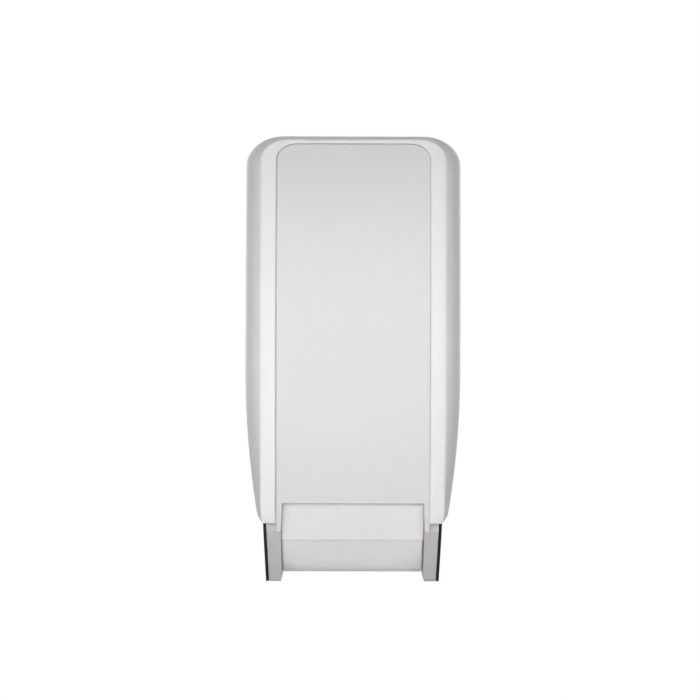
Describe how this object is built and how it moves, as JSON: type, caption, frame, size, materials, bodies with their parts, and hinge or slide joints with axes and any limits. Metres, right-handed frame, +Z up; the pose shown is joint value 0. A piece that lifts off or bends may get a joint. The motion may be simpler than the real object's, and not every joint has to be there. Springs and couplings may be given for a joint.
{
  "type": "toilet roll dispenser",
  "caption": "Wall-mounted toilet roll dispenser for stacked rolls, with a bowed lockable cover that hinges down, a window at its foot and side arms that guide the spindle pins.",
  "frame": {"origin": "centre of the wall plate's rear face, on the wall", "axes": "+Z up, +Y into the wall, +X to the right when facing the cover"},
  "size_m": [0.155, 0.15, 0.3108],
  "materials": {
    "cover_white": "satin",
    "panel_white": "satin",
    "arm_grey": "satin",
    "cheek_black": "satin",
    "chassis_dark": "matte",
    "steel": "zinc plated",
    "nickel": "nickel plated",
    "tissue": "matte",
    "cardboard": "matte",
    "plug_plastic": "matte"
  },
  "bodies": {
    "chassis": {"back_plate": "chassis_dark", "left_cheek": "cheek_black", "right_cheek": "cheek_black", "left_arm_trim": "arm_grey", "right_arm_trim": "arm_grey", "left_cheek_screw_1": "steel", "right_cheek_screw_1": "steel", "left_cheek_screw_2": "steel", "right_cheek_screw_2": "steel", "left_trim_screw_1": "steel", "right_trim_screw_1": "steel", "left_trim_screw_2": "steel", "right_trim_screw_2": "steel", "left_hinge_pin": "steel", "right_hinge_pin": "steel", "catch_spring": "steel"},
    "cover": {"cover_shell": "cover_white", "front_panel": "panel_white", "lock_body": "nickel", "lock_nut": "nickel"},
    "lock": {"lock_plug": "nickel", "lock_cam": "steel", "cam_screw": "steel"},
    "release": {"release_shaft": "steel", "left_catch": "arm_grey", "right_catch": "arm_grey", "release_bar": "steel"},
    "lower_roll": {"lower_paper_roll": "tissue", "lower_core": "cardboard", "lower_left_plug": "plug_plastic", "lower_right_plug": "plug_plastic", "paper_tail": "tissue"},
    "upper_roll": {"upper_paper_roll": "tissue", "upper_core": "cardboard", "upper_left_plug": "plug_plastic", "upper_right_plug": "plug_plastic"}
  },
  "joints": [
    {"name": "cover_hinge", "type": "hinge", "parent": "chassis", "child": "cover", "pos_m": [0, -0.012, -0.1031], "axis": [1, 0, 0], "range_deg": [0, 85]},
    {"name": "lock_turn", "type": "hinge", "parent": "cover", "child": "lock", "pos_m": [0, -0.024, 0.14], "axis": [0, 0, -1], "range_deg": [0, 90]},
    {"name": "reserve_release", "type": "hinge", "parent": "chassis", "child": "release", "pos_m": [0, -0.015, -0.0126], "axis": [-1, 0, 0], "range_deg": [0, 8], "stiffness_Nm_per_rad": 0.2, "springref_deg": -17.19, "deforming": ["catch_spring"]},
    {"name": "lower_roll_spin", "type": "hinge", "parent": "chassis", "child": "lower_roll", "pos_m": [0, -0.072, -0.0911], "axis": [1, 0, 0], "continuous": true},
    {"name": "upper_roll_spin", "type": "hinge", "parent": "chassis", "child": "upper_roll", "pos_m": [0, -0.072, 0.0389], "axis": [1, 0, 0], "continuous": true}
  ]
}
